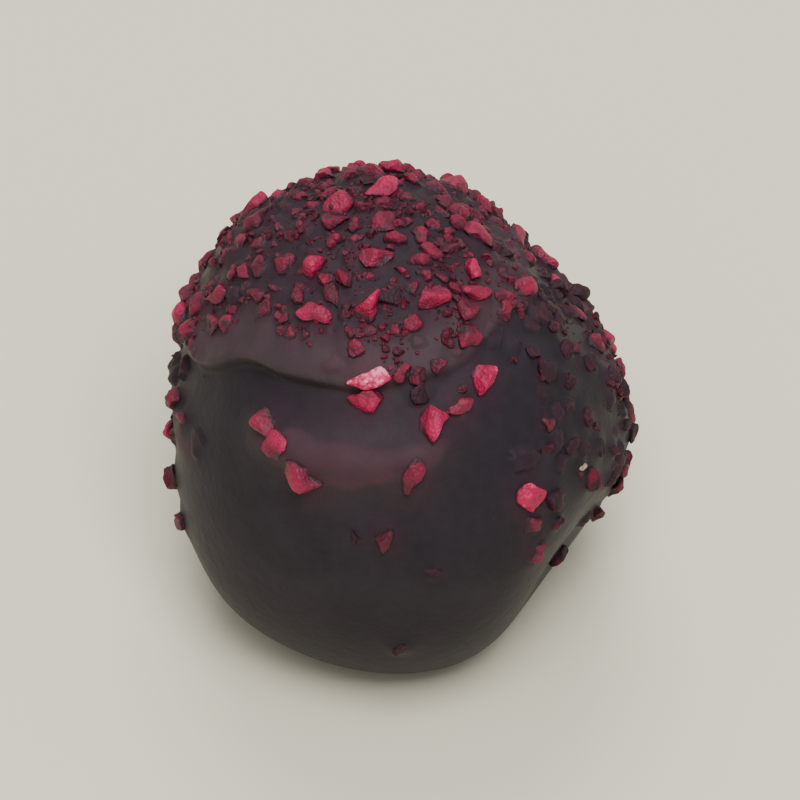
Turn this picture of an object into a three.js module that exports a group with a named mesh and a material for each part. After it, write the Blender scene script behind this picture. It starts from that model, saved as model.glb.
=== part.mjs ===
// A chocolate ball: one rolled ball under a dark chocolate coat, with berry crumbs on its crown.
// Millimetres, +Z up. The origin is on the surface that the ball rests on, at the middle of the
// ball's width and depth. -Y is the front, where the coat of the crown folds over a hollow.
// Azimuths are in degrees from the front towards +X, and latitudes in degrees above the waist.
// Every angle is in degrees, and every width of a hump is where it has fallen to about a third.

import * as THREE from 'three';
import { mergeVertices } from 'three/addons/utils/BufferGeometryUtils.js';

const { degToRad, radToDeg, smoothstep, clamp, lerp, euclideanModulo } = THREE.MathUtils;

// The body without its folds and crumbs.
const WAIST_HALF_WIDTH = 21.7;
const WAIST_HALF_DEPTH = 22.9;
const WAIST_HEIGHT = 20.4;      // the widest level, above the surface below the ball
const CROWN_RISE = 24.4;        // from the waist to the top
const BELLY_DROP = 23.2;        // from the waist to where the round underside would end
const CROWN_LEAN = 1.4;         // the top leans this far to the left
const CROWN_TAPER = 0.05;       // the crown's share of width that is lost towards the top
const BELLY_FULLNESS = 1.1;     // how far the belly stands out from a plain ellipse
const FOOT_ROUNDING = 1.1;      // the flat foot curves up into the side over this height

// Wide soft swellings, and flats where the height is negative.
const SWELLINGS = [
  { azimuth: 122, latitude: 32, height: -2.9, width: 34 },
  { azimuth: -122, latitude: 32, height: 1.8, width: 32 },
  { azimuth: -58, latitude: -26, height: 1.5, width: 28 },
  { azimuth: 80, latitude: -8, height: 0.9, width: 20 },
  { azimuth: 60, latitude: -26, height: -4.0, width: 26 },
  { azimuth: 180, latitude: 4, height: 0.6, width: 30 },
];

// Shorter waves make the body uneven: a direction, a number of radians across it, a height.
const BODY_WAVES = [
  { azimuth: 35, latitude: 10, radians: 4.6, height: 0.25, phase: 0.4 },
  { azimuth: 120, latitude: 35, radians: 6.7, height: 0.2, phase: 2.1 },
  { azimuth: -70, latitude: 55, radians: 9.1, height: 0.15, phase: 4.0 },
];

// The coat of the crown is thicker than the rest, down to a wavy lip over a hollow. A turn goes
// round the crown's axis from the front, and the lip fades away from its boldest stretches.
const CROWN_AXIS = { azimuth: -135, latitude: 68 };
const CROWN_COAT = 0.4;         // extra thickness of the crown's coat
const LIP_ANGLE = 56.6;         // from the crown's axis to its lip
const LIP_BAY = { turn: -35, depth: 9.8, width: 38 };
const LIP_WAVES = [
  { count: 4, height: 0.8, turn: 60 },
  { count: 7, height: 0.7, turn: 200 },
  { count: 11, height: 0.45, turn: 20 },
];
const LIP_BOLD = [
  { turn: -38, strength: 0.88, width: 50 },
  { turn: 150, strength: 0.5, width: 40 },
];
const LIP_FAINT = 0.12;         // strength of the lip elsewhere
const LIP_BEAD = { height: 0.65, width: 6.5 };
const LIP_HOLLOW = { depth: 0.65, width: 11 };
const LIP_DROP = 2.6;           // the bead turns into the hollow over twice this angle

// Rolls of coat that set as they ran down below the lip, each a shallow curve.
const ROLLS = [
  { azimuth: -14, latitude: 32.8, halfSpan: 43, slope: 5.6, rise: 2.5, height: 1.2, width: 5.8 },
  { azimuth: 112, latitude: 14, halfSpan: 46, slope: 0, rise: 10, height: 0.8, width: 5 },
  { azimuth: 205, latitude: 20, halfSpan: 52, slope: 0, rise: 12, height: 0.9, width: 5 },
  { azimuth: -95, latitude: 4, halfSpan: 34, slope: 0, rise: 8, height: 0.5, width: 4.5 },
];
const ROLL_FADE = [0.5, 1.05];  // a roll fades between these shares of its half span

// Crumbs, each a low hump in the coat. A share is the part of the places that hold a crumb.
const CRUMB_PLACES = 620;       // spread evenly over the whole ball
const CRUMB_RADIUS = [1.3, 2.0];
const CRUMB_HEIGHT = [0.55, 1.15];
const CRUMB_SQUARENESS = 4;     // 2 is a round hump, and more is a flatter one
const CROWN_SHARE = 0.92;
const CROWN_FADE = [-6, 8];     // degrees above the lip, from the side's crumbs to the crown's
const SIDE_SHARE = 0.25;
const SIDE_FADE = [-42, 20];    // latitudes, from a bare underside to the full share
const SIDE_HEIGHT = 0.6;        // crumbs on the side are sunk to this share of their height
const CRUMB_PATCHES = [
  { azimuth: 96, latitude: 22, share: 0.7, width: 36 },
  { azimuth: -98, latitude: 4, share: 0.4, width: 28 },
];

const SPHERE_DETAIL = 20;       // the ball has 20 * (detail + 1) ** 2 triangles

function direction(azimuth, latitude) {
  const turn = degToRad(azimuth);
  const climb = degToRad(latitude);
  const level = Math.cos(climb);
  return new THREE.Vector3(level * Math.sin(turn), -level * Math.cos(turn), Math.sin(climb));
}

const azimuthOf = (way) => radToDeg(Math.atan2(way.x, -way.y));
const latitudeOf = (way) => radToDeg(Math.asin(clamp(way.z, -1, 1)));
const angleBetween = (way, other) => radToDeg(Math.acos(clamp(way.dot(other), -1, 1)));
const turnFrom = (start, end) => euclideanModulo(end - start + 180, 360) - 180;
const hump = (distance, width) => Math.exp(-((distance / width) ** 2));

// An even draw between 0 and 1 that is always the same for the same place and use.
const CRUMB_DRAWS = { shakeX: 1, shakeY: 2, shakeZ: 3, present: 4, size: 5 };
const draw = (place, use) => euclideanModulo(Math.sin(place * 12.9898 + use * 4.1414) * 43758.5453, 1);

const crownAxis = direction(CROWN_AXIS.azimuth, CROWN_AXIS.latitude);
const crownFront = direction(0, 0).projectOnPlane(crownAxis).normalize();
const crownSide = new THREE.Vector3().crossVectors(crownAxis, crownFront);
const crownTurn = (way) => radToDeg(Math.atan2(way.dot(crownSide), way.dot(crownFront)));

// Degrees from a direction down to the lip: positive on the crown, negative below it.
function aboveLip(way) {
  const turn = crownTurn(way);
  let lip = LIP_ANGLE - LIP_BAY.depth * hump(turnFrom(LIP_BAY.turn, turn), LIP_BAY.width);
  for (const wave of LIP_WAVES) {
    lip += wave.height * Math.sin(degToRad(wave.count * turn + wave.turn));
  }
  return lip - angleBetween(way, crownAxis);
}

function lipStrength(way) {
  const turn = crownTurn(way);
  let strength = LIP_FAINT;
  for (const stretch of LIP_BOLD) {
    strength += stretch.strength * hump(turnFrom(stretch.turn, turn), stretch.width);
  }
  return strength;
}

function crownHeight(way) {
  const above = aboveLip(way);
  const onCrown = smoothstep(above, -LIP_DROP, LIP_DROP);
  const bead = LIP_BEAD.height * hump(above - LIP_DROP, LIP_BEAD.width);
  const hollow = LIP_HOLLOW.depth * hump(above + LIP_DROP, LIP_HOLLOW.width);
  return lipStrength(way) * lerp(-hollow, CROWN_COAT + bead, onCrown);
}

function rollHeight(way, roll) {
  const part = turnFrom(roll.azimuth, azimuthOf(way)) / roll.halfSpan;
  const middle = roll.latitude + roll.slope * part + roll.rise * part ** 2;
  const along = 1 - smoothstep(Math.abs(part), ...ROLL_FADE);
  const belowLip = 1 - smoothstep(aboveLip(way), -LIP_DROP, LIP_DROP);
  return roll.height * along * belowLip * hump(latitudeOf(way) - middle, roll.width);
}

function swellingHeight(way, swelling) {
  const middle = direction(swelling.azimuth, swelling.latitude);
  return swelling.height * hump(angleBetween(way, middle), swelling.width);
}

function waveHeight(way, wave) {
  const across = way.dot(direction(wave.azimuth, wave.latitude));
  return wave.height * Math.sin(wave.radians * across + wave.phase);
}

function crumbShare(way, onCrown) {
  const onSide = smoothstep(latitudeOf(way), ...SIDE_FADE);
  let share = lerp(SIDE_SHARE * onSide, CROWN_SHARE, onCrown);
  for (const patch of CRUMB_PATCHES) {
    const middle = direction(patch.azimuth, patch.latitude);
    share = Math.max(share, patch.share * hump(angleBetween(way, middle), patch.width));
  }
  return share;
}

// The crumbs lie on a spiral of evenly spread places that is shaken a little.
function makeCrumbs() {
  const goldenTurn = 180 * (3 - Math.sqrt(5));
  const spacing = Math.sqrt(4 * Math.PI / CRUMB_PLACES);
  const crumbs = [];
  for (let place = 0; place < CRUMB_PLACES; place += 1) {
    const level = 1 - (2 * place + 1) / CRUMB_PLACES;
    const way = direction(place * goldenTurn, radToDeg(Math.asin(level)));
    const shake = new THREE.Vector3(
      draw(place, CRUMB_DRAWS.shakeX),
      draw(place, CRUMB_DRAWS.shakeY),
      draw(place, CRUMB_DRAWS.shakeZ));
    way.addScaledVector(shake.subScalar(0.5), spacing).normalize();
    const onCrown = smoothstep(aboveLip(way), ...CROWN_FADE);
    if (draw(place, CRUMB_DRAWS.present) < crumbShare(way, onCrown)) {
      const size = draw(place, CRUMB_DRAWS.size);
      const radius = lerp(...CRUMB_RADIUS, size);
      const height = lerp(...CRUMB_HEIGHT, size) * lerp(SIDE_HEIGHT, 1, onCrown);
      crumbs.push({ way, radius, height });
    }
  }
  return crumbs;
}

const crumbs = makeCrumbs();

// Neighbouring crumbs don't add up: the tallest one counts.
function crumbHeight(way) {
  let tallest = 0;
  for (const crumb of crumbs) {
    const part = way.distanceTo(crumb.way) * WAIST_HALF_WIDTH / crumb.radius;
    if (part < 1) {
      tallest = Math.max(tallest, crumb.height * (1 - part ** CRUMB_SQUARENESS));
    }
  }
  return tallest;
}

// The flat foot is at height 0, and the side leaves it on a curve.
function restOnFoot(height) {
  if (height <= -FOOT_ROUNDING) {
    return 0;
  }
  if (height >= FOOT_ROUNDING) {
    return height;
  }
  return (height + FOOT_ROUNDING) ** 2 / (4 * FOOT_ROUNDING);
}

const total = (heights) => heights.reduce((sum, height) => sum + height, 0);

function surfacePoint(way) {
  const crown = Math.max(way.z, 0);
  const belly = Math.max(-way.z, 0);
  const taper = 1 - CROWN_TAPER * crown;
  const relief = total([
    BELLY_FULLNESS * 4 * belly ** 2 * (1 - belly ** 2),
    crownHeight(way),
    crumbHeight(way),
    ...SWELLINGS.map((swelling) => swellingHeight(way, swelling)),
    ...ROLLS.map((roll) => rollHeight(way, roll)),
    ...BODY_WAVES.map((wave) => waveHeight(way, wave)),
  ]);
  const point = new THREE.Vector3(
    WAIST_HALF_WIDTH * taper * way.x - CROWN_LEAN * crown ** 2,
    WAIST_HALF_DEPTH * taper * way.y,
    WAIST_HEIGHT + CROWN_RISE * crown - BELLY_DROP * belly);
  point.addScaledVector(way, relief);
  point.z = restOnFoot(point.z);
  return point;
}

function makeChocolateBall() {
  const sphere = new THREE.IcosahedronGeometry(1, SPHERE_DETAIL);
  sphere.deleteAttribute('normal');
  sphere.deleteAttribute('uv');
  const geometry = mergeVertices(sphere);
  const corners = geometry.getAttribute('position');
  const way = new THREE.Vector3();
  for (let corner = 0; corner < corners.count; corner += 1) {
    way.fromBufferAttribute(corners, corner).normalize();
    corners.setXYZ(corner, ...surfacePoint(way));
  }
  geometry.computeBoundingBox();
  const middle = geometry.boundingBox.getCenter(new THREE.Vector3());
  geometry.translate(-middle.x, -middle.y, 0);
  geometry.computeVertexNormals();
  const chocolate = new THREE.MeshStandardMaterial({ color: 0x2e2628, roughness: 0.42, metalness: 0 });
  const ball = new THREE.Mesh(geometry, chocolate);
  ball.name = 'chocolate_ball';
  return ball;
}

const model = new THREE.Group();
model.add(makeChocolateBall());

export default model;
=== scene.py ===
"""A hand-rolled ball under a satin coat of dark chocolate, with crimson berry crumbs pressed into it.

Shapes are worked out in millimetres and become metres when a piece is made. +Z is up and -Y is the
front. Azimuths are in degrees from the front towards +X, and latitudes in degrees above the waist.
A way is a direction of length 1 from the middle of the ball, and every place on the coat has one.
"""

import itertools
import math

import bpy
import numpy as np
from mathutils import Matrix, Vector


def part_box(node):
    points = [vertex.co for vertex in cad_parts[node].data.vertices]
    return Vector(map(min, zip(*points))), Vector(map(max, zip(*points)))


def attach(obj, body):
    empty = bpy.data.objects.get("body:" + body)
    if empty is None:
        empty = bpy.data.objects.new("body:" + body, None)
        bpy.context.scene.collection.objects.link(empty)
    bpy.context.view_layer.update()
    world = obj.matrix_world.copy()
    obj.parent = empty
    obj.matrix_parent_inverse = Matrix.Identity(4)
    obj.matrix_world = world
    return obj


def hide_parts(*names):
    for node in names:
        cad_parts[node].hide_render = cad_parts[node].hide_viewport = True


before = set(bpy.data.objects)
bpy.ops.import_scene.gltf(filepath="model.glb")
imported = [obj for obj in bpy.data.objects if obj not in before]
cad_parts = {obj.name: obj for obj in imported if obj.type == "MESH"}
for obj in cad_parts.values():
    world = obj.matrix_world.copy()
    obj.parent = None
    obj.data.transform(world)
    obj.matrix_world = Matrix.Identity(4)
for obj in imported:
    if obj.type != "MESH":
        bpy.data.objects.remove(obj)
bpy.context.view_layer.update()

MM = 0.001                      # metres in a millimetre

# The body follows the solid ball of the frame, and the crumbs stand out to the ball's full size.
BALL_LOW, BALL_HIGH = (np.array(corner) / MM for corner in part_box("chocolate_ball"))
BALL_MIDDLE = (BALL_LOW + BALL_HIGH) / 2
BALL_WIDTH, BALL_DEPTH, BALL_HEIGHT = BALL_HIGH - BALL_LOW
CRUMBS_AT_SIDES, CRUMBS_AT_FRONT = 0.7, 0.35  # how far crumbs and folds stand out at the waist
WAIST_HALF_WIDTH = BALL_WIDTH / 2 - CRUMBS_AT_SIDES
WAIST_HALF_DEPTH = BALL_DEPTH / 2 - CRUMBS_AT_FRONT
WAIST_HEIGHT = 0.446 * BALL_HEIGHT  # the widest level
CROWN_RISE = 0.534 * BALL_HEIGHT    # from the waist to the top, without the crumbs there
BELLY_DROP = 0.508 * BALL_HEIGHT    # from the waist to where the round underside would end
CROWN_LEAN = 1.4                # the top leans this far to the left
CROWN_TAPER = 0.05              # the crown's share of width that is lost towards the top
BELLY_FULLNESS = 1.1            # how far the belly stands out from a plain ellipse
FOOT_ROUNDING = 1.1             # the flat foot curves up into the side over this height

# Wide soft swellings, and flats where the height is negative: azimuth, latitude, height, width.
SWELLINGS = [
    (122, 32, -2.9, 34),
    (-122, 32, 1.8, 32),
    (-58, -26, 1.5, 28),
    (80, -8, 0.9, 20),
    (60, -26, -4.0, 26),
    (180, 4, 0.6, 30),
]

# The crown's coat is thick down to a wavy lip that hangs over a hollow. Turns go round the crown's
# axis from the front, and the lip fades away from its two boldest stretches.
CROWN_AXIS = (-135, 68)         # azimuth, latitude
LIP_ANGLE = 56.6                # from the crown's axis to its lip
LIP_BAY = (-35, 9.8, 38)        # turn, depth, width
LIP_WAVES = [(4, 0.8, 60), (7, 0.7, 200), (11, 0.45, 20)]  # waves in a turn, height, phase
LIP_BOLD = [(-38, 0.88, 50), (150, 0.5, 40)]  # turn, strength, width
LIP_FAINT = 0.12                # strength of the lip elsewhere
LIP_RAGGED = (0.9, 3.5)         # degrees by which small lumps move the lip, and the lumps' size
CROWN_COAT = 0.4                # extra thickness of the crown's coat
LIP_BEAD = (0.65, 6.5)          # height and width of the bead along the lip
LIP_HOLLOW = (0.65, 11)         # depth and width of the hollow below it
LIP_EDGE = 1.5                  # half the angle over which the bead turns into the hollow
LIP_OVERHANG = (0.2, 5)         # how far the bead sags over the hollow, and the angle of its reach

# Rolls of coat that set as they ran down below the lip, each a shallow curve:
# azimuth, latitude, half span, slope, rise, width, height.
ROLLS = [
    (-14, 32.8, 43, 5.6, 2.5, 5.8, 1.2),
    (112, 14, 46, 0, 10, 5, 0.8),
    (205, 20, 52, 0, 12, 5, 0.9),
    (-95, 4, 34, 0, 8, 4.5, 0.5),
]
ROLL_FADE = (0.5, 1.05)         # a roll fades between these shares of its half span
ROLL_UNEVEN = (0.4, 3.0)        # the share of its height that lumps change, and the lumps' size
ROLL_WANDER = (1.6, 5.0)        # degrees by which lumps shift its crest, and the lumps' size

# Uneven brushwork of the coat, as lumps of a height and a size, on the crown and below it.
CROWN_LUMPS = [(0.3, 8.0), (0.2, 3.2), (0.09, 1.3)]
BELLY_LUMPS = [(0.22, 11.0), (0.07, 4.5)]
BRUSHED_FADE = (-6, 6)          # degrees above the lip, from the smooth belly to the brushed crown

# The photographed view looks along +Y and down at this angle.
VIEW_ELEVATION = 47


# ---- Directions and soft steps


def direction(azimuth, latitude):
    turn, climb = np.radians(azimuth), np.radians(latitude)
    return np.stack(
        [np.cos(climb) * np.sin(turn), -np.cos(climb) * np.cos(turn), np.sin(climb)], axis=-1)


def unit(vectors):
    return vectors / np.linalg.norm(vectors, axis=-1, keepdims=True)


def azimuth_of(ways):
    return np.degrees(np.arctan2(ways[:, 0], -ways[:, 1]))


def latitude_of(ways):
    return np.degrees(np.arcsin(np.clip(ways[:, 2], -1, 1)))


def angle_from(ways, other):
    return np.degrees(np.arccos(np.clip(ways @ other, -1, 1)))


def turn_from(start, end):
    return (end - start + 180) % 360 - 180


def hump(distance, width):
    return np.exp(-((distance / width) ** 2))


def soft_step(value, start, end):
    part = np.clip((value - start) / (end - start), 0, 1)
    return part * part * (3 - 2 * part)


def lumps(points, size, seed):
    """Smooth unevenness between -1 and 1 whose lumps are about as large as size."""
    table = np.random.default_rng(seed).uniform(-1, 1, (32, 32, 32))
    cell = points / size
    corner = np.floor(cell).astype(int)
    part = cell - corner
    part = part * part * (3 - 2 * part)
    height = np.zeros(len(points))
    for step in itertools.product((0, 1), repeat=3):
        share = np.prod(np.where(step, part, 1 - part), axis=1)
        x, y, z = ((corner + step) % len(table)).T
        height += share * table[x, y, z]
    return height


# ---- The bare coat, as a height over the body for every way


def unevenness(ways, most_and_size, seed):
    """Lumps over the body, from how much they change at most and how large they are."""
    most, size = most_and_size
    return most * lumps(ways * WAIST_HALF_WIDTH, size, seed)


TOP_WAY = direction(*CROWN_AXIS)
TOP_FRONT = unit(direction(0, 0) - TOP_WAY * (direction(0, 0) @ TOP_WAY))
TOP_SIDE = np.cross(TOP_WAY, TOP_FRONT)


def above_lip(ways):
    """Degrees from each way down to the lip: positive on the crown and negative below it."""
    turn = np.degrees(np.arctan2(ways @ TOP_SIDE, ways @ TOP_FRONT))
    bay_turn, bay_depth, bay_width = LIP_BAY
    lip = LIP_ANGLE - bay_depth * hump(turn_from(bay_turn, turn), bay_width)
    for count, height, phase in LIP_WAVES:
        lip = lip + height * np.sin(np.radians(count * turn + phase))
    lip = lip + unevenness(ways, LIP_RAGGED, seed=11)
    return lip - angle_from(ways, TOP_WAY)


def lip_strength(ways):
    turn = np.degrees(np.arctan2(ways @ TOP_SIDE, ways @ TOP_FRONT))
    strength = LIP_FAINT
    for middle, share, width in LIP_BOLD:
        strength = strength + share * hump(turn_from(middle, turn), width)
    return strength


def crown_height(ways, above):
    bead, bead_width = LIP_BEAD
    hollow, hollow_width = LIP_HOLLOW
    on_crown = soft_step(above, -LIP_EDGE, LIP_EDGE)
    high = CROWN_COAT + bead * hump(above - LIP_EDGE, bead_width)
    low = -hollow * hump(above + LIP_EDGE, hollow_width)
    return lip_strength(ways) * (low + (high - low) * on_crown)


def roll_share(ways, above, azimuth, latitude, half_span, slope, rise, width):
    """1 along the crest of a roll, and 0 off it."""
    part = turn_from(azimuth, azimuth_of(ways)) / half_span
    crest = latitude + slope * part + rise * part ** 2 + unevenness(ways, ROLL_WANDER, seed=13)
    along = 1 - soft_step(np.abs(part), *ROLL_FADE)
    below_lip = 1 - soft_step(above, -LIP_EDGE, LIP_EDGE)
    even = along * below_lip * hump(latitude_of(ways) - crest, width)
    return even * (1 + unevenness(ways, ROLL_UNEVEN, seed=159))


def rough_height(ways, above):
    """The brushed crown is lumpier than the belly, which set smooth."""
    crown = sum(unevenness(ways, lump, seed) for seed, lump in enumerate(CROWN_LUMPS, 21))
    belly = sum(unevenness(ways, lump, seed) for seed, lump in enumerate(BELLY_LUMPS, 31))
    return belly + (crown - belly) * soft_step(above, *BRUSHED_FADE)


def rest_on_foot(height):
    """The foot is flat at height 0, and the side leaves it on a curve."""
    curve = (height + FOOT_ROUNDING) ** 2 / (4 * FOOT_ROUNDING)
    return np.where(height <= -FOOT_ROUNDING, 0, np.where(height >= FOOT_ROUNDING, height, curve))


def coat_points(ways, extra=0):
    """Where the coat lies for each way, in millimetres. Extra is a height of crumbs under the coat."""
    above = above_lip(ways)
    crown, belly = np.maximum(ways[:, 2], 0), np.maximum(-ways[:, 2], 0)
    taper = 1 - CROWN_TAPER * crown
    relief = BELLY_FULLNESS * 4 * belly ** 2 * (1 - belly ** 2) + crown_height(ways, above)
    relief = relief + rough_height(ways, above) + extra
    for azimuth, latitude, height, width in SWELLINGS:
        relief = relief + height * hump(angle_from(ways, direction(azimuth, latitude)), width)
    for *course, height in ROLLS:
        relief = relief + height * roll_share(ways, above, *course)
    body = np.stack([
        WAIST_HALF_WIDTH * taper * ways[:, 0] - CROWN_LEAN * crown ** 2,
        WAIST_HALF_DEPTH * taper * ways[:, 1],
        WAIST_HEIGHT + CROWN_RISE * crown - BELLY_DROP * belly], axis=1)
    points = body + ways * relief[:, None] + sagging(ways, above)
    points[:, 2] = rest_on_foot(points[:, 2])
    return points


def sagging(ways, above):
    """The bead sags away from the crown's axis, so the lip hangs over its hollow."""
    down = ways * (ways @ TOP_WAY)[:, None] - TOP_WAY
    down /= np.maximum(np.linalg.norm(down, axis=1, keepdims=True), 1e-6)
    overhang, reach = LIP_OVERHANG
    sag = overhang * lip_strength(ways) * soft_step(above, -LIP_EDGE, LIP_EDGE)
    return down * (sag * hump(above - LIP_EDGE, reach))[:, None]


# ---- Round balls of triangles, which the coat and the crumbs are shaped from


def geodesic(steps):
    """The corners and triangles of a round ball: an icosahedron with every edge cut into steps."""
    golden = (1 + math.sqrt(5)) / 2
    signs = list(itertools.product((-1, 1), repeat=2))
    corners = np.array([np.roll((0, a, b * golden), turn) for turn in range(3) for a, b in signs])
    faces = [trio for trio in itertools.combinations(range(len(corners)), 3)
             if all(np.isclose(np.linalg.norm(corners[a] - corners[b]), 2)
                    for a, b in itertools.combinations(trio, 2))]
    rows = [(i, j) for i in range(steps + 1) for j in range(steps + 1 - i)]
    place = {row: index for index, row in enumerate(rows)}
    upward = [(place[i, j], place[i + 1, j], place[i, j + 1]) for i, j in rows if i + j < steps]
    downward = [(place[i + 1, j], place[i + 1, j + 1], place[i, j + 1])
                for i, j in rows if i + j < steps - 1]
    pattern = np.array(upward + downward)
    share = np.array(rows) / steps
    points, triangles = [], []
    for trio in faces:
        first, second, third = corners[list(trio)]
        if np.linalg.det([first, second, third]) < 0:
            second, third = third, second
        triangles.append(pattern + len(rows) * len(points))
        points.append(first + share[:, :1] * (second - first) + share[:, 1:] * (third - first))
    points = unit(np.concatenate(points))
    # Neighbouring faces share the points along their edge. Adding 0.0 makes -0.0 and 0.0 the same.
    rounded = np.round(points, 6) + 0.0
    _, kept, index = np.unique(rounded, axis=0, return_index=True, return_inverse=True)
    return points[kept], index.reshape(-1)[np.concatenate(triangles)]


# The coat's grid is a little finer on the side that the photographed view shows.
COAT_STEPS = 98
COAT_FINER_TO_VIEWER = 0.16
TOWARD_VIEWER = direction(0, VIEW_ELEVATION)
coat_ways, coat_triangles = geodesic(COAT_STEPS)
coat_ways = unit(coat_ways + COAT_FINER_TO_VIEWER * TOWARD_VIEWER)

# The bare coat's middle, in width and depth, lies over the middle of the ball in the frame.
bare_coat = coat_points(coat_ways)
SHIFT = BALL_MIDDLE - (bare_coat.min(axis=0) + bare_coat.max(axis=0)) / 2
SHIFT[2] = 0


def make_piece(name, points, triangles, finish, painted, sharp=None):
    """A mesh in metres, with a value at every point for each painted name. Edges whose faces turn
    more than the sharp angle, in degrees, stay sharp."""
    mesh = bpy.data.meshes.new(name)
    mesh.vertices.add(len(points))
    mesh.vertices.foreach_set("co", ((points + SHIFT) * MM).astype(np.float32).ravel())
    mesh.loops.add(triangles.size)
    mesh.loops.foreach_set("vertex_index", triangles.astype(np.int32).ravel())
    mesh.polygons.add(len(triangles))
    mesh.polygons.foreach_set("loop_start", np.arange(0, triangles.size, 3, dtype=np.int32))
    mesh.polygons.foreach_set("use_smooth", np.ones(len(triangles), bool))
    mesh.update(calc_edges=True)
    for label, values in painted.items():
        mesh.attributes.new(label, "FLOAT", "POINT").data.foreach_set("value", values.astype(np.float32))
    if sharp:
        mesh.set_sharp_from_angle(angle=math.radians(sharp))
    mesh.materials.append(finish)
    piece = bpy.data.objects.new(name, mesh)
    bpy.context.scene.collection.objects.link(piece)
    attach(piece, "root")
    return piece


# ---- Where the crumbs lie

MEAN_RADIUS = (WAIST_HALF_WIDTH + WAIST_HALF_DEPTH) / 2
VIEW_RIGHT = np.array((1.0, 0.0, 0.0))
VIEW_UP = np.cross(TOWARD_VIEWER, VIEW_RIGHT)

# Crumbs that the photographed view shows: millimetres right of the outline's middle and above it,
# and the crumb's length. Some also have their width as a share of the length, how far the length is
# turned from level in that view, how bright the crumb is, and how far it leans back.
# A brightness past 1 gives a crumb a painted whitish pink glint.
SHOWN_BRIGHT = [
    (-1.5, 22.2, 4.0, 0.7, 60, 0.95), (-6.0, 20.8, 3.3, 0.7, 50, 0.65), (7.6, 17.8, 3.3, 0.6, -60, 0.6),
    (-2.1, 15.9, 3.2, 0.8, 30, 0.65), (6.8, 14.6, 2.9, 0.6, 85, 0.95), (-8.6, 14.6, 3.4, 0.8, 15, 0.65),
    (7.2, 12.3, 3.7, 0.6, 5, 0.7), (3.1, 11.9, 3.5, 0.8, 20, 0.65), (11.8, 13.0, 3.0, 0.7, 20, 0.5),
    (-17.3, 12.3, 3.6, 0.6, 5, 0.65), (-3.2, 11.2, 3.4, 0.95, 75, 0.9), (-8.2, 10.4, 3.6, 0.6, -10, 0.8),
    (-21.6, 10.7, 3.0, 0.7, 20, 0.6), (-2.9, 4.1, 4.2, 0.36, 12, 1.35, 38), (7.8, 4.2, 3.4, 0.85, 60, 1.1),
    (3.3, -0.5, 3.6, 0.75, 92, 0.8), (12.3, -7.0, 3.3, 0.85, 80, 1.15), (-13.0, -0.4, 3.2, 0.7, -45, 0.5),
    (-11.8, -2.3, 3.0, 0.66, -35, 0.75), (-9.3, -4.9, 4.0, 0.6, -80, 0.5), (5.7, 1.6, 3.0, 0.5, 25, 0.5),
    (-3.3, 2.3, 3.5, 0.6, -5, 0.75),
]
SHOWN_DIM = [
    (3.5, 22.4, 2.4), (-9.5, 19.3, 2.1), (3.1, 16.3, 2.6), (-5.2, 13.7, 2.2), (-13.0, 10.6, 2.4),
    (-3.2, 8.9, 2.2), (-17.8, 9.5, 2.6), (-15.0, 14.5, 2.2), (-13.3, 17.2, 2.2), (-16.6, 16.0, 2.3),
    (0.0, 5.0, 2.2), (1.8, 4.6, 1.9), (3.5, 5.6, 1.9), (9.6, 12.2, 2.6), (1.3, -5.0, 4.1, 0.45, 85),
    (13.1, -12.4, 2.9, 0.6, 75), (12.5, -9.8, 2.2, 0.7, 85, 0.25), (-1.4, -10.9, 2.6, 0.85, 60, 0.2),
    (14.1, 0.0, 1.9), (-21.6, 2.6, 2.4), (-21.8, -9.5, 2.6), (22.0, -4.5, 2.4), (10.6, 16.3, 2.2),
    (0.6, 19.2, 2.0), (-6.5, 17.6, 2.1), (-19.8, 7.4, 2.3), (-10.6, 8.6, 1.9), (1.2, 9.6, 2.1),
    (4.6, 8.3, 2.0), (0.3, 14.6, 2.0), (-11.8, 13.0, 2.2), (9.9, 10.9, 2.4), (-20.6, 8.8, 2.2),
    (-19.2, 11.4, 2.4), (-21.0, 0.4, 2.0), (-21.6, 12.6, 2.8), (-21.9, 8.9, 2.8), (-20.6, 14.3, 2.4),
]
SHOWN_COATED = [
    (17.0, 11.3, 2.4), (19.0, 8.2, 2.3), (22.4, -0.9, 2.6), (22.4, -7.0, 2.6), (16.1, 3.9, 2.0),
    (-4.3, -10.9, 1.8), (3.1, -14.3, 1.8), (0.0, -21.7, 2.2), (20.5, 4.5, 2.2),
    (14.8, 9.0, 2.0), (18.0, 0.5, 2.0), (20.6, -2.6, 2.0), (15.8, 7.0, 2.2), (12.6, 6.8, 1.9),
    (18.2, 5.6, 2.3), (13.9, 11.4, 2.4), (21.6, 2.2, 2.3), (16.4, -2.2, 1.9), (19.4, -9.2, 2.0),
]
SHOWN_SEEDS = [(17.6, -4.3, 1.5)]
SHOWN_LIFT = 0.6                # the middle of a shown crumb stands this far off the bare coat
SHOWN_RIM = -0.05               # a shown crumb may face this little away from the viewer, as a cosine

CROWN_FADE = (-4, 4)            # degrees above the lip, from the side's crumbs to the crown's
BARE_BAND = 15                  # the boldest lip keeps this many more degrees of its coat bare
BARE_STRENGTH = 0.35            # a lip of less strength has no bare band
BARE_BAND_FADE = (-2, 4)        # degrees above the lip, over which the side's crumbs end at the band
SIDE_SHARE = 0.22               # most crumbs on the side, as a share of its places
SIDE_FADE = (-42, 20)           # latitudes, from a bare underside to the full share
CRUMB_PATCHES = [(96, 22, 0.8, 34), (-98, 4, 0.4, 26)]  # azimuth, latitude, share, width
BARE_FACES = [(-28, 8, 48), (14, -20, 36)]  # smooth belly: azimuth, latitude, width
BARE_FACE_EDGE = (0.7, 1.3)     # shares of a bare face's width, over which crumbs come back
UPPER_FADE = (-35, 5)           # latitudes, from no whole crumbs to the full share
RED_FADE = (-3, 3)              # degrees above the lip, from crumbs under chocolate to red ones
RED_LEAST = 0.2                 # the share of red crumbs below the lip
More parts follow.
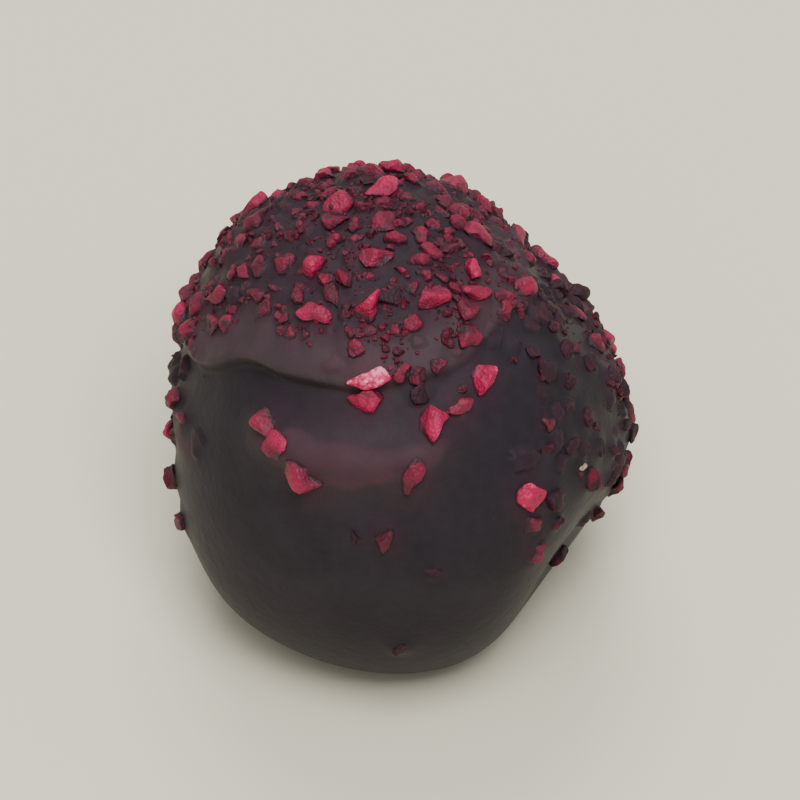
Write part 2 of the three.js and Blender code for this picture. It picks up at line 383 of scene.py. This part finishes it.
SEEN_FACE = (0.15, 0.4)         # cosines, from the unseen side to the face the shown crumbs fill

BRIGHT_TRIES, BRIGHT_LENGTH = 300, (2.0, 3.4)
DIM_TRIES, DIM_LENGTH = 1900, (1.4, 2.9)
COATED_TRIES, COATED_LENGTH = 800, (1.4, 2.8)
BURIED_TRIES, BURIED_LENGTH = 1500, (1.4, 2.6)
SEED_TRIES, SEED_LENGTH = 40, (1.2, 1.6)
DIM_SHARE = (0.8, 0.1)          # on the seen face, and how much more on the unseen side
COATED_SHARE = 1.2              # less the share of the crumbs that show red
CHIP_COUNT, CHIP_LENGTH = 2200, (0.25, 1.3)


def crumb_share(ways):
    """The part of the places that hold a crumb: most on the crown and almost none underneath."""
    above = above_lip(ways)
    bare = BARE_BAND * np.clip(lip_strength(ways) - BARE_STRENGTH, 0, 1)
    on_crown = soft_step(above - bare, *CROWN_FADE)
    on_side = SIDE_SHARE * soft_step(latitude_of(ways), *SIDE_FADE)
    for azimuth, latitude, most, width in CRUMB_PATCHES:
        on_side = np.maximum(on_side, most * hump(angle_from(ways, direction(azimuth, latitude)), width))
    for azimuth, latitude, width in BARE_FACES:
        away = angle_from(ways, direction(azimuth, latitude)) / width
        on_side = on_side * soft_step(away, *BARE_FACE_EDGE)
    on_side = on_side * (1 - soft_step(above, *BARE_BAND_FADE) * (bare > 0))
    return on_side + (1 - on_side) * on_crown


def berry_side(ways):
    """Where crumbs show red. On the rest of the crumbed coat they are under chocolate."""
    return np.maximum(soft_step(above_lip(ways), *RED_FADE), RED_LEAST)


def random_ways(random, count):
    return unit(random.normal(size=(count, 3)))


class Crumbs:
    """Places of crumbs of one look: a way and a length for each, and what else is known of it."""

    def __init__(self):
        self.ways, self.lengths, self.looks = [], [], []

    def add(self, way, length, width=None, turn=None, tone=None, lean=None):
        self.ways.append(way)
        self.lengths.append(length)
        self.looks.append((width, turn, tone, lean))


def place_shown(crumbs, shown):
    """Puts the shown crumbs where the photographed view shows them on the bare coat."""
    facing = np.flatnonzero(coat_ways @ TOWARD_VIEWER > SHOWN_RIM)
    middles = bare_coat[facing] + SHOWN_LIFT * coat_ways[facing]
    right, up = middles @ VIEW_RIGHT, middles @ VIEW_UP
    right = right - (right.min() + right.max()) / 2
    up = up - (up.min() + up.max()) / 2
    for place_right, place_up, *looks in shown:
        nearest = np.argmin((right - place_right) ** 2 + (up - place_up) ** 2)
        crumbs.add(coat_ways[facing[nearest]], *looks)


def sprinkle(crumbs, taken, random, tries, length_range, share, gap):
    """Adds crumbs at random where their share allows, each clear of all those already placed."""
    ways = random_ways(random, tries)
    lengths = random.uniform(*length_range, tries)
    keep = random.uniform(size=tries) < share(ways)
    for way, length in zip(ways[keep], lengths[keep]):
        clear = [(length + other) / 2 * gap for kind in taken for other in kind.lengths]
        others = [other for kind in taken for other in kind.ways]
        apart = np.linalg.norm(np.array(others) - way, axis=1) * MEAN_RADIUS
        if np.all(apart > np.array(clear)):
            crumbs.add(way, length)


def place_crumbs():
    random = np.random.default_rng(5)
    bright, dim, coated, seeds, buried = kinds = [Crumbs() for _ in range(5)]
    for kind, shown in zip(kinds, (SHOWN_BRIGHT, SHOWN_DIM, SHOWN_COATED, SHOWN_SEEDS)):
        place_shown(kind, shown)

    def unseen(ways):
        return 1 - soft_step(ways @ TOWARD_VIEWER, *SEEN_FACE)

    def upper(ways):
        return crumb_share(ways) * soft_step(latitude_of(ways), *UPPER_FADE)

    seen_share, unseen_extra = DIM_SHARE
    sprinkle(bright, kinds, random, BRIGHT_TRIES, BRIGHT_LENGTH,
             lambda ways: upper(ways) * unseen(ways), gap=0.95)
    sprinkle(dim, kinds, random, DIM_TRIES, DIM_LENGTH,
             lambda ways: upper(ways) * (seen_share + unseen_extra * unseen(ways)) * berry_side(ways),
             gap=0.75)
    sprinkle(seeds, kinds, random, SEED_TRIES, SEED_LENGTH,
             lambda ways: upper(ways) * unseen(ways), gap=0.8)
    sprinkle(coated, kinds, random, COATED_TRIES, COATED_LENGTH,
             lambda ways: upper(ways) * (COATED_SHARE - berry_side(ways)), gap=0.75)
    sprinkle(buried, kinds, random, BURIED_TRIES, BURIED_LENGTH, upper, gap=0.7)
    return kinds


# ---- How crumbs raise and stain the coat around them

MOUND_HEIGHT = 0.42             # the coat climbs this far up round a crumb
MOUND_SPREAD = 1.25             # this and the next are shares of half the crumb's length
MOUND_REACH = 3.5
BURIED_HEIGHT = (0.3, 0.75)
BURIED_LOWEST = 0.6             # a crumb of no length has this share of the height
BURIED_CORNERS = 5
BURIED_CUTS = (0.75, 1.0)       # how far out its sides lie, as shares of half its length
BURIED_REACH = 1.6              # as a share of half its length
BURIED_ROUNDNESS = 0.35         # 0 is a clean polygon, and 1 a round lump
BURIED_EDGE = (0.55, 1.05)      # from its flat top to its foot, as shares of half its length
BURIED_WARP = (0.45, 0.9)       # how far lumps move its outline, and the lumps' size
BURIED_CRAGS = 0.35             # unevenness of a buried crumb's top, as a share of its height
BURIED_CRAG_SIZES = (0.8, 0.45)
BURIED_FINE_CRAGS = 0.6         # height of its fine crags, as a share of that of the others
CROWN_STAIN = (0.0, 0.2)        # least and most berry juice in the coat of the crown
STAIN_PATCHES = 3.0             # millimetres across the juicy patches
STAIN_FADE = (-4, 8)            # degrees above the lip, from no juice to the full amount
STAIN_RAGGED = (4, 5.0)         # degrees by which lumps move that edge, and the lumps' size
ROLL_JUICE_AND_SHEEN = 0.28               # berry juice in the rolls of coat, tinting their painted sheen rose
BURIED_STAIN = (0.05, 0.5)      # a thin coat lets some buried crumbs show through as dark red
STAINING = (0.4, 0.28, 0.1, 0.0)  # juice round a bright, a dim, a coated crumb and a seed
OBLIQUE = (0.31, 0.52, 0.79)    # any direction that no crumb's way is along


def near(ways, way, reach):
    """The ways within a reach in millimetres of one way, and how far off each is in its plane."""
    close = np.flatnonzero(ways @ way > 1 - (reach / MEAN_RADIUS) ** 2 / 2)
    side = unit(np.cross(way, OBLIQUE))
    other = np.cross(way, side)
    offsets = (ways[close] - way) * MEAN_RADIUS
    return close, offsets @ side, offsets @ other


def crumb_relief(ways, kinds):
    """Height that the crumbs add to the coat, and how much berry stain they give it."""
    *pressed, buried = kinds
    random = np.random.default_rng(8)
    places = ways * MEAN_RADIUS
    height = np.zeros(len(ways))
    least, most = CROWN_STAIN
    juicy = 0.5 + 0.5 * lumps(places, STAIN_PATCHES, seed=51)
    ragged, ragged_size = STAIN_RAGGED
    above = above_lip(ways) + ragged * lumps(places, ragged_size, seed=52)
    stain = soft_step(above, *STAIN_FADE) * crumb_share(ways)
    # the rolls take juice that tints their painted sheen rose
    stain = np.maximum(stain * (least + (most - least) * juicy), ROLL_JUICE_AND_SHEEN * on_rolls(ways))
    warp, warp_size = BURIED_WARP
    warp_x, warp_y = (warp * lumps(places, warp_size, seed) for seed in (53, 54))
    coarse, fine = (lumps(places, size, seed) for seed, size in enumerate(BURIED_CRAG_SIZES, 55))
    crags = 1 + BURIED_CRAGS * (coarse + BURIED_FINE_CRAGS * fine)
    for kind, staining in zip(pressed, STAINING):
        for way, length in zip(kind.ways, kind.lengths):
            half = length / 2
            close, x, y = near(ways, way, MOUND_REACH * half)
            bump = hump(np.hypot(x, y), half * MOUND_SPREAD)
            height[close] = np.maximum(height[close], MOUND_HEIGHT * bump)
            stain[close] = np.maximum(stain[close], staining * bump)
    for way, length in zip(buried.ways, buried.lengths):
        half = length / 2
        close, x, y = near(ways, way, BURIED_REACH * half)
        x, y = x + warp_x[close], y + warp_y[close]
        turns = random.uniform(0, 2 * np.pi, BURIED_CORNERS)
        cuts = random.uniform(*BURIED_CUTS, BURIED_CORNERS) * half
        sides = [(x * np.cos(turn) + y * np.sin(turn)) / cut for turn, cut in zip(turns, cuts)]
        part = BURIED_ROUNDNESS * np.hypot(x, y) / half + (1 - BURIED_ROUNDNESS) * np.max(sides, axis=0)
        lump = 1 - soft_step(part, *BURIED_EDGE)
        size_share = BURIED_LOWEST + (1 - BURIED_LOWEST) * length / BURIED_LENGTH[1]
        tall = random.uniform(*BURIED_HEIGHT) * size_share
        height[close] = np.maximum(height[close], tall * lump * crags[close])
        stain[close] = np.maximum(stain[close], random.uniform(*BURIED_STAIN) * lump)
    return height, stain


PALE_EDGE = (-1.0, 1.5)         # degrees above the lip, from the dark hollow to the bead's painted sheen
PALE_FADE = (7, 17)             # degrees above the lip over which the crown darkens again
PALE_TOP = 0.1                  # share of painted sheen left on the crown above that
HOLLOW_PAINTED_LIGHT = (-16, 42, 0.6, 18)  # azimuth, latitude, most lightening and width of a patch of painted light in the shaded hollow
PALE_ROLLS = (0.3, 0.9)         # shares of a roll's height between which its painted sheen comes in
PALE_RAGGED = (0.45, 2.5)       # how much lumps change that share, and the lumps' size
PALE_CREST = 0.85               # share of painted sheen on a roll's crest


def on_rolls(ways):
    """1 where the coat has run into a roll, with a ragged edge."""
    above = above_lip(ways)
    share = sum(roll_share(ways, above, *course) for *course, _ in ROLLS)
    ragged, size = PALE_RAGGED
    return soft_step(share + ragged * share * lumps(ways * MEAN_RADIUS, size, seed=283), *PALE_ROLLS)


def paleness_and_sheen(ways):
    """Lighter coat along the lip and on the rolls as a painted sheen, and painted light in the shaded
    hollow.
    """
    above = above_lip(ways)
    crown = soft_step(above, *PALE_EDGE) * (1 - (1 - PALE_TOP) * soft_step(above, *PALE_FADE))
    azimuth, latitude, most, width = HOLLOW_PAINTED_LIGHT
    hollow = most * hump(angle_from(ways, direction(azimuth, latitude)), width)
    return np.maximum(np.maximum(crown, hollow), PALE_CREST * on_rolls(ways))


# ---- Shapes of the crumbs

CRUMB_STEPS = 6
CRUMB_CUTS = 11
CRUMB_CUT_DEPTH = (0.42, 0.8)
CRUMB_FLATNESS = 0.97           # 1 is a clean break, and less leaves the break domed
CRUMB_WIDTH = (0.62, 0.95)      # as a share of its length
CRUMB_THICKNESS = (0.7, 1.0)    # as a share of its width
CRUMB_CRAGS = [(0.75, 0.17), (0.38, 0.09)]  # size and height of its crags, where its radius is 1
TIP_HIGHLIGHT = 0.5                  # painted highlight: a crumb is paler towards its tip, where the light falls on its top, than at its root
CREVICE_SHADE_RIDGE_HIGHLIGHT = 0.5              # painted shade and highlight: a crumb is at most this much darker in crevices and paler on ridges
SEAT_REACH = 0.5                # a crumb leans with the coat this far round its place
CRUMB_SHARP = 38                # degrees that the breaks on a crumb turn at least
COVER_PATCHES = 0.9             # millimetres across the patches of chocolate on a crumb
COVER_EDGE = (1.0, 1.3)         # lumps from berry to chocolate, less twice the share covered
WATERLINE_UNEVEN = (0.15, 0.5)  # how far lumps move the coat's edge on a crumb, and the lumps' size
WATERLINE_EDGE = 0.25           # millimetres from chocolate to berry above the coat
LUMP_FIELD = 20                 # every crumb takes its crags from its own place in a field this wide


def broken_crumb(random, ball, width):
    """One broken piece of berry, 1 long, and how far each point stands out on a ridge."""
    points = ball.copy()
    for _ in range(CRUMB_CUTS):
        face = unit(random.normal(size=3))
        over = np.maximum(points @ face - random.uniform(*CRUMB_CUT_DEPTH), 0)
        points -= over[:, None] * face * CRUMB_FLATNESS
    points *= (1, width, width * random.uniform(*CRUMB_THICKNESS))
    somewhere = points + random.uniform(0, LUMP_FIELD, 3)
    crags = sum(height * lumps(somewhere, size, seed) for seed, (size, height) in enumerate(CRUMB_CRAGS, 3))
    points += ball * crags[:, None]
    low, high = points.min(axis=0), points.max(axis=0)
    tallest = sum(height for _, height in CRUMB_CRAGS)
    return (points - (low + high) / 2) / (high - low).max(), crags / tallest


def seats(ways):
    """The bare coat's point, two directions along it and its outward normal, for every way."""
    level = unit(np.cross(VIEW_UP, ways))
    climb = np.cross(ways, level)
    step = SEAT_REACH / MEAN_RADIUS
    along = coat_points(unit(ways + step * level)) - coat_points(unit(ways - step * level))
    across = coat_points(unit(ways + step * climb)) - coat_points(unit(ways - step * climb))
    normal = unit(np.cross(along, across))
    level = unit(along - normal * np.sum(along * normal, axis=1, keepdims=True))
    return coat_points(ways), level, np.cross(normal, level), normal


def press_crumbs(name, crumbs, finish, seed, lift, tilt, tone, cover):
    """Joins the crumbs of one look into a piece, each pressed into the coat at its own place.

    Lift is a share of the crumb's length, tilt is the most that it leans in degrees, and tone and
    cover are the ranges of its brightness and of the share of it that chocolate covers.
    """
    random = np.random.default_rng(seed)
    ball, triangles = geodesic(CRUMB_STEPS)
    (berry, cocoa), (uneven, uneven_size) = COVER_EDGE, WATERLINE_UNEVEN
    points, tones, coats = [], [], []
    places = zip(*seats(np.array(crumbs.ways)), crumbs.lengths, crumbs.looks)
    for seat, level, climb, normal, length, (width, turn, own_tone, lean) in places:
        width = random.uniform(*CRUMB_WIDTH) if width is None else width
        angle = random.uniform(0, 2 * math.pi) if turn is None else math.radians(turn)
        lean = math.radians(random.uniform(-tilt, tilt) if lean is None else lean)
        first = math.cos(angle) * level + math.sin(angle) * climb
        second = math.cos(angle) * climb - math.sin(angle) * level
        outward = math.cos(lean) * normal + math.sin(lean) * second
        second = math.cos(lean) * second - math.sin(lean) * normal
        shape, ridge = broken_crumb(random, ball, width)
        placed = seat + normal * lift * length + shape @ np.array((first, second, outward)) * length
        points.append(placed)
        mean_tone = random.uniform(*tone) if own_tone is None else own_tone
        # own tone, with painted shade in crevices and painted highlight on ridges and towards the tip
        tones.append(mean_tone + CREVICE_SHADE_RIDGE_HIGHLIGHT * ridge + TIP_HIGHLIGHT * shape[:, 2])
        share = random.uniform(*cover)
        patches = soft_step(lumps(placed, COVER_PATCHES, seed + 1), berry - 2 * share, cocoa - 2 * share)
        waterline = MOUND_HEIGHT + uneven * lumps(placed, uneven_size, seed + 2)
        foot = 1 - soft_step((placed - seat) @ normal, waterline, waterline + WATERLINE_EDGE)
        coats.append(np.maximum(patches, foot))
    joined = np.concatenate([triangles + len(ball) * index for index in range(len(points))])
    # each crumb carries the painted sheen of the coat where it sits
    pale = np.repeat(paleness_and_sheen(np.array(crumbs.ways)), len(ball))
    painted = {"tone": np.concatenate(tones), "coated": np.concatenate(coats), "pale": pale}
    make_piece(name, np.concatenate(points), joined, finish, painted, CRUMB_SHARP)


CHIP_STEPS = 2
CHIP_CUTS = 6
CHIP_CUT_DEPTH = (0.2, 0.8)
CHIP_SHARP = 30                 # degrees that the breaks on a chip turn at least
CHIP_TRIES = 8                  # places tried for every chip
CHIP_CLUSTERS = 3.0             # millimetres across the patches where chips gather
CHIP_GATHER = (-0.2, 0.7)       # height of the lumps between those patches, and within them
CHIP_STRAYS = 0.08              # the share of chips between them
CHIP_SMALLNESS = 3              # 1 is an even spread of lengths, and more makes most chips small
CHIP_TONE = (0.0, 0.6)


def sift_chips(kinds, finish):
    """Small chips of berry that stuck to the coat among the crumbs."""
    random = np.random.default_rng(77)
    ball, triangles = geodesic(CHIP_STEPS)
    ways = random_ways(random, CHIP_COUNT * CHIP_TRIES)
    cluster = soft_step(lumps(ways * MEAN_RADIUS, CHIP_CLUSTERS, seed=78), *CHIP_GATHER)
    share = crumb_share(ways) ** 2 * (CHIP_STRAYS + (1 - CHIP_STRAYS) * cluster)
    ways = ways[random.uniform(size=len(ways)) < share][:CHIP_COUNT]
    count = len(ways)
    height, _ = crumb_relief(ways, kinds)
    middles = coat_points(ways, height)
    least, most = CHIP_LENGTH
    lengths = least + (most - least) * random.uniform(size=count) ** CHIP_SMALLNESS
    shapes = np.repeat(ball[None], count, axis=0)
    for _ in range(CHIP_CUTS):
        faces = unit(random.normal(size=(count, 1, 3)))
        depths = random.uniform(*CHIP_CUT_DEPTH, (count, 1, 1))
        over = np.sum(shapes * faces, axis=2, keepdims=True) - depths
        shapes = shapes - np.maximum(over, 0) * faces
    shapes = shapes * lengths[:, None, None] / 2
    points = (middles[:, None] + shapes).reshape(-1, 3)
    joined = (triangles[None] + len(ball) * np.arange(count)[:, None, None]).reshape(-1, 3)
    tones = np.repeat(random.uniform(*CHIP_TONE, count) * berry_side(ways), len(ball))
    bare = np.zeros(len(points))
    painted = {"tone": tones, "coated": bare, "pale": bare}
    make_piece("berry_chips", points, joined, finish, painted, CHIP_SHARP)


def dip_coat(kinds, finish):
    """The whole coat, raised round the crumbs and over the buried ones."""
    height, stain = crumb_relief(coat_ways, kinds)
    # the coat's berry stain, and its painted sheen and painted light
    painted = {"stain": stain, "pale": paleness_and_sheen(coat_ways)}
    coat = make_piece("chocolate_coat", coat_points(coat_ways, height), coat_triangles, finish,
                      painted)
    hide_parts("chocolate_ball")


# ---- Finishes


class Wire:
    """An output of a finish's nodes. Arithmetic with wires adds Math nodes."""

    def __init__(self, finish, socket):
        self.finish, self.socket = finish, socket

    def maths(self, operation, *values):
        return self.finish.node("ShaderNodeMath", {"operation": operation}, dict(enumerate(values)))

    def __add__(self, other):
        return self.maths("ADD", self, other)

    __radd__ = __add__

    def __sub__(self, other):
        return self.maths("SUBTRACT", self, other)

    def __rsub__(self, other):
        return self.maths("SUBTRACT", other, self)

    def __mul__(self, other):
        return self.maths("MULTIPLY", self, other)

    __rmul__ = __mul__

    def between(self, start, end):
        """0 at the start value and 1 at the end value, with a soft step from one to the other."""
        return self.finish.node("ShaderNodeMapRange", {"interpolation_type": "SMOOTHSTEP"},
                                {"Value": self, "From Min": start, "From Max": end})


class Finish:
    """The nodes of a material or a world, each made by node()."""

    def __init__(self, owner):
        owner.use_nodes = True
        self.owner, self.tree = owner, owner.node_tree
        self.tree.nodes.clear()

    def node(self, kind, settings, sockets, output=0):
        """Adds a node: its settings first, then a value or a link for each socket."""
        node = self.tree.nodes.new(kind)
        for name, value in settings.items():
            if name == "stops":
                self.set_stops(node.color_ramp.elements, value)
            else:
                setattr(node, name, value)
        for name, value in sockets.items():
            if isinstance(value, Wire):
                self.tree.links.new(value.socket, node.inputs[name])
            else:
                node.inputs[name].default_value = value
        return Wire(self, node.outputs[output]) if node.outputs else None

    @staticmethod
    def set_stops(elements, stops):
        while len(elements) < len(stops):
            elements.new(1)
        for element, (position, colour) in zip(elements, stops):
            element.position, element.color = position, (*colour, 1)

    def clouds(self, size, detail=2.0):
        """Noise from 0 to 1 whose clouds are about this many millimetres across."""
        place = self.node("ShaderNodeTexCoord", {}, {}, "Object")
        return self.node("ShaderNodeTexNoise", {},
                         {"Vector": place, "Scale": 1 / (size * MM), "Detail": detail})

    def grains(self, size):
        """Cells about this many millimetres across, 0 in their middle and near 1 between them."""
        place = self.node("ShaderNodeTexCoord", {}, {}, "Object")
        return self.node("ShaderNodeTexVoronoi", {}, {"Vector": place, "Scale": 1 / (size * MM)})

    def painted(self, label):
        """A value that the mesh holds at every point."""
        return self.node("ShaderNodeAttribute", {"attribute_name": label}, {}, "Fac")

    def ramp(self, value, stops):
        return self.node("ShaderNodeValToRGB", {"stops": stops}, {"Fac": value})

    def mix(self, share, first, second):
        return self.node("ShaderNodeMix", {"data_type": "RGBA"}, {0: share, 6: first, 7: second}, 2)

    def bump(self, height, depth, normal=None):
        """Relief in the shading, this many millimetres deep."""
        sockets = {"Height": height, "Strength": 1.0, "Distance": depth * MM}
        if normal:
            sockets["Normal"] = normal
        return self.node("ShaderNodeBump", {}, sockets)

    def surface(self, colour, roughness, normal, **constants):
        """The finished material. What is the same all over is set on the shader's own sockets."""
        named = {name.replace("_", " "): value for name, value in constants.items()}
        shader = self.node("ShaderNodeBsdfPrincipled", {},
                           {"Base Color": colour, "Roughness": roughness, "Normal": normal, **named})
        self.node("ShaderNodeOutputMaterial", {}, {"Surface": shader})
        return self.owner


def rgb(red, green, blue):
    return (red, green, blue, 1)


CHOCOLATE_DEEP = (0.0190, 0.0160, 0.0205)
CHOCOLATE_LIGHT = (0.0305, 0.0245, 0.0310)
CHOCOLATE_PALE_SHEEN = (0.062, 0.041, 0.048)   # painted sheen of the coat along the crown's lip and on the rolls
CHOCOLATE_JUICY = (0.120, 0.014, 0.036)  # the coat where berry juice has stained it
CRUMB_SKIN = (0.040, 0.008, 0.015)  # a thin coat on a crumb, with the berry showing through
BERRY_TINTS_AND_GLINT = [
    (0.0, (0.035, 0.009, 0.015)),
    (0.3, (0.115, 0.013, 0.030)),
    (0.6, (0.250, 0.008, 0.044)),
    (0.85, (0.430, 0.005, 0.066)),
    (0.94, (0.620, 0.040, 0.130)),
    # the last stop is a painted whitish pink glint on the brightest crumbs
    (1.0, (0.850, 0.250, 0.360)),
]
SEED_DARK = (0.26, 0.14, 0.10)
SEED_PALE = (0.48, 0.33, 0.24)


def satin_dark_chocolate():
    finish = Finish(bpy.data.materials.new("satin_dark_chocolate"))
    broad, fine = finish.clouds(size=6.0, detail=3), finish.clouds(size=1.1, detail=3)
    stain = finish.painted("stain")
    bare = finish.ramp(broad * 0.65 + fine * 0.35, [(0.3, CHOCOLATE_DEEP), (0.72, CHOCOLATE_LIGHT)])
    # painted sheen along the lip and on the rolls, and painted light in the hollow
    pale = finish.painted("pale") * (0.45 + finish.clouds(size=2.4, detail=3) * 0.7)
    coat = finish.mix(pale, bare, rgb(*CHOCOLATE_PALE_SHEEN))
    speckle = finish.clouds(size=0.45).between(0.35, 0.75)
    share = stain * (0.3 + speckle * 0.7)
    colour = finish.mix(share, coat, rgb(*CHOCOLATE_JUICY))
    roughness = 0.40 + broad * 0.12 + fine * 0.08 + stain * 0.25
    normal = finish.bump(finish.clouds(size=0.28), depth=0.02, normal=finish.bump(fine, depth=0.07))
    return finish.surface(colour, roughness, normal, IOR=1.17)


def crimson_berry(name, brightness, gloss):
    """Dry berry, with a skin of chocolate where it was dipped. Gloss is the index of refraction."""
    finish = Finish(bpy.data.materials.new(name))
    tone, coated = finish.painted("tone"), finish.painted("coated")
    patch, grain = finish.clouds(size=0.7, detail=3), finish.grains(size=0.32)
    berry = finish.ramp((tone * 0.7 + patch * 0.45 - grain * 0.2) * brightness, BERRY_TINTS_AND_GLINT)
    # a crumb's chocolate skin takes the painted sheen of the coat at its place
    thin = finish.mix(finish.painted("pale") * 0.7, rgb(*CHOCOLATE_LIGHT), rgb(*CHOCOLATE_PALE_SHEEN))
    skin = finish.mix(finish.clouds(size=0.6), thin, rgb(*CRUMB_SKIN))
    colour = finish.mix(coated, berry, skin)
    roughness = 0.42 + patch * 0.25
    normal = finish.bump(grain, depth=0.10, normal=finish.bump(patch, depth=0.12))
    return finish.surface(colour, roughness, normal, IOR=gloss)


def pale_seed():
    finish = Finish(bpy.data.materials.new("pale_seed"))
    streak = finish.clouds(size=0.35, detail=3)
    colour = finish.ramp(streak, [(0.3, SEED_DARK), (0.7, SEED_PALE)])
    return finish.surface(colour, 0.4 + streak * 0.2, finish.bump(streak, depth=0.05))


# ---- The stage, which isn't part of the ball

PAPER = rgb(0.86, 0.80, 0.62)
DAYLIGHT = rgb(0.95, 0.97, 1.0)
DAYLIGHT_STRENGTH = 0.46
FLOOR_RADIUS = 1.6              # metres
FLOOR_FADE = (0.5, 1.5)         # metres from the ball, over which the floor fades into the backdrop


def pale_floor():
    finish = Finish(bpy.data.materials.new("pale_card"))
    place = finish.node("ShaderNodeTexCoord", {}, {}, "Object")
    far = finish.node("ShaderNodeVectorMath", {"operation": "LENGTH"}, {0: place}, "Value")
    card = finish.node("ShaderNodeBsdfDiffuse", {}, {"Color": PAPER})
    clear = finish.node("ShaderNodeBsdfTransparent", {}, {})
    blend = finish.node("ShaderNodeMixShader", {}, {0: far.between(*FLOOR_FADE), 1: card, 2: clear})
    finish.node("ShaderNodeOutputMaterial", {}, {"Surface": blend})
    mesh = bpy.data.meshes.new("floor")
    corners = [(x * FLOOR_RADIUS, y * FLOOR_RADIUS, 0) for x, y in ((-1, -1), (1, -1), (1, 1), (-1, 1))]
    mesh.from_pydata(corners, [], [(0, 1, 2, 3)])
    mesh.materials.append(finish.owner)
    floor = bpy.data.objects.new("floor", mesh)
    bpy.context.scene.collection.objects.link(floor)


def pale_surroundings():
    """Soft light from all round, in front of a backdrop that looks like the lit floor."""
    finish = Finish(bpy.data.worlds.new("surroundings"))
    path = finish.node("ShaderNodeLightPath", {}, {}, "Is Camera Ray")
    light = finish.node("ShaderNodeBackground", {}, {"Color": DAYLIGHT, "Strength": DAYLIGHT_STRENGTH})
    backdrop = finish.node("ShaderNodeBackground", {}, {"Color": PAPER, "Strength": 1.0})
    both = finish.node("ShaderNodeMixShader", {}, {0: path, 1: light, 2: backdrop})
    finish.node("ShaderNodeOutputWorld", {}, {"Surface": both})
    bpy.context.scene.world = finish.owner


def soft_box(name, azimuth, elevation, distance, size, watts):
    """A square white lamp that faces the ball, with its distance and size in metres."""
    lamp = bpy.data.lights.new(name, "AREA")
    lamp.size, lamp.energy = size, watts
    box = bpy.data.objects.new(name, lamp)
    aim(box, azimuth, elevation, distance)


def aim(thing, azimuth, elevation, distance):
    """Stands a lamp or camera off from the ball's middle and turns it to face that."""
    back = direction(azimuth, elevation)
    thing.location = BALL_MIDDLE * MM + back * distance
    thing.rotation_euler = (math.radians(90 - elevation), 0, math.radians(azimuth))
    bpy.context.scene.collection.objects.link(thing)


CAMERA_DISTANCE = 2.47          # metres
CAMERA_SEES = (0.1, 20)         # metres from the camera
SENSOR = 36.0                   # the camera's sensor in millimetres
FRAME_HEIGHT = 76.0             # millimetres of the scene in the picture's height, at the ball


def photographed_view():
    """From far off, as in the photograph, so that near and far sides keep one scale."""
    camera = bpy.data.cameras.new("photographed_view")
    camera.sensor_width = SENSOR
    camera.lens = SENSOR * CAMERA_DISTANCE / (FRAME_HEIGHT * MM)
    camera.clip_start, camera.clip_end = CAMERA_SEES
    view = bpy.data.objects.new("photographed_view", camera)
    aim(view, 0, VIEW_ELEVATION, CAMERA_DISTANCE)
    bpy.context.scene.camera = view


# ---- The ball and its stage

photographed_view()
pale_surroundings()
pale_floor()
soft_box("key", azimuth=-175, elevation=58, distance=0.75, size=0.4, watts=2.6)
soft_box("overhead", azimuth=12, elevation=66, distance=0.8, size=0.4, watts=6.0)
soft_box("fill", azimuth=-20, elevation=40, distance=0.9, size=0.6, watts=0.3)

kinds = place_crumbs()
bright, dim, coated, seed_specks, _ = kinds
dip_coat(kinds, satin_dark_chocolate())
press_crumbs("berry_crumbs", bright, crimson_berry("crimson_berry", brightness=0.82, gloss=1.38),
             seed=41, lift=0.14, tilt=25, tone=(0.5, 0.85), cover=(0.0, 0.12))
press_crumbs("dipped_crumbs", dim, crimson_berry("dipped_berry", brightness=0.64, gloss=1.3),
             seed=42, lift=0.10, tilt=25, tone=(0.2, 0.65), cover=(0.0, 0.35))
press_crumbs("coated_crumbs", coated, crimson_berry("coated_berry", brightness=0.7, gloss=1.2),
             seed=44, lift=0.15, tilt=25, tone=(0.0, 0.4), cover=(0.5, 1.0))
press_crumbs("berry_seeds", seed_specks, pale_seed(),
             seed=43, lift=0.05, tilt=10, tone=(0.5, 0.5), cover=(0.0, 0.0))
sift_chips(kinds, crimson_berry("berry_chips", brightness=0.66, gloss=1.3))
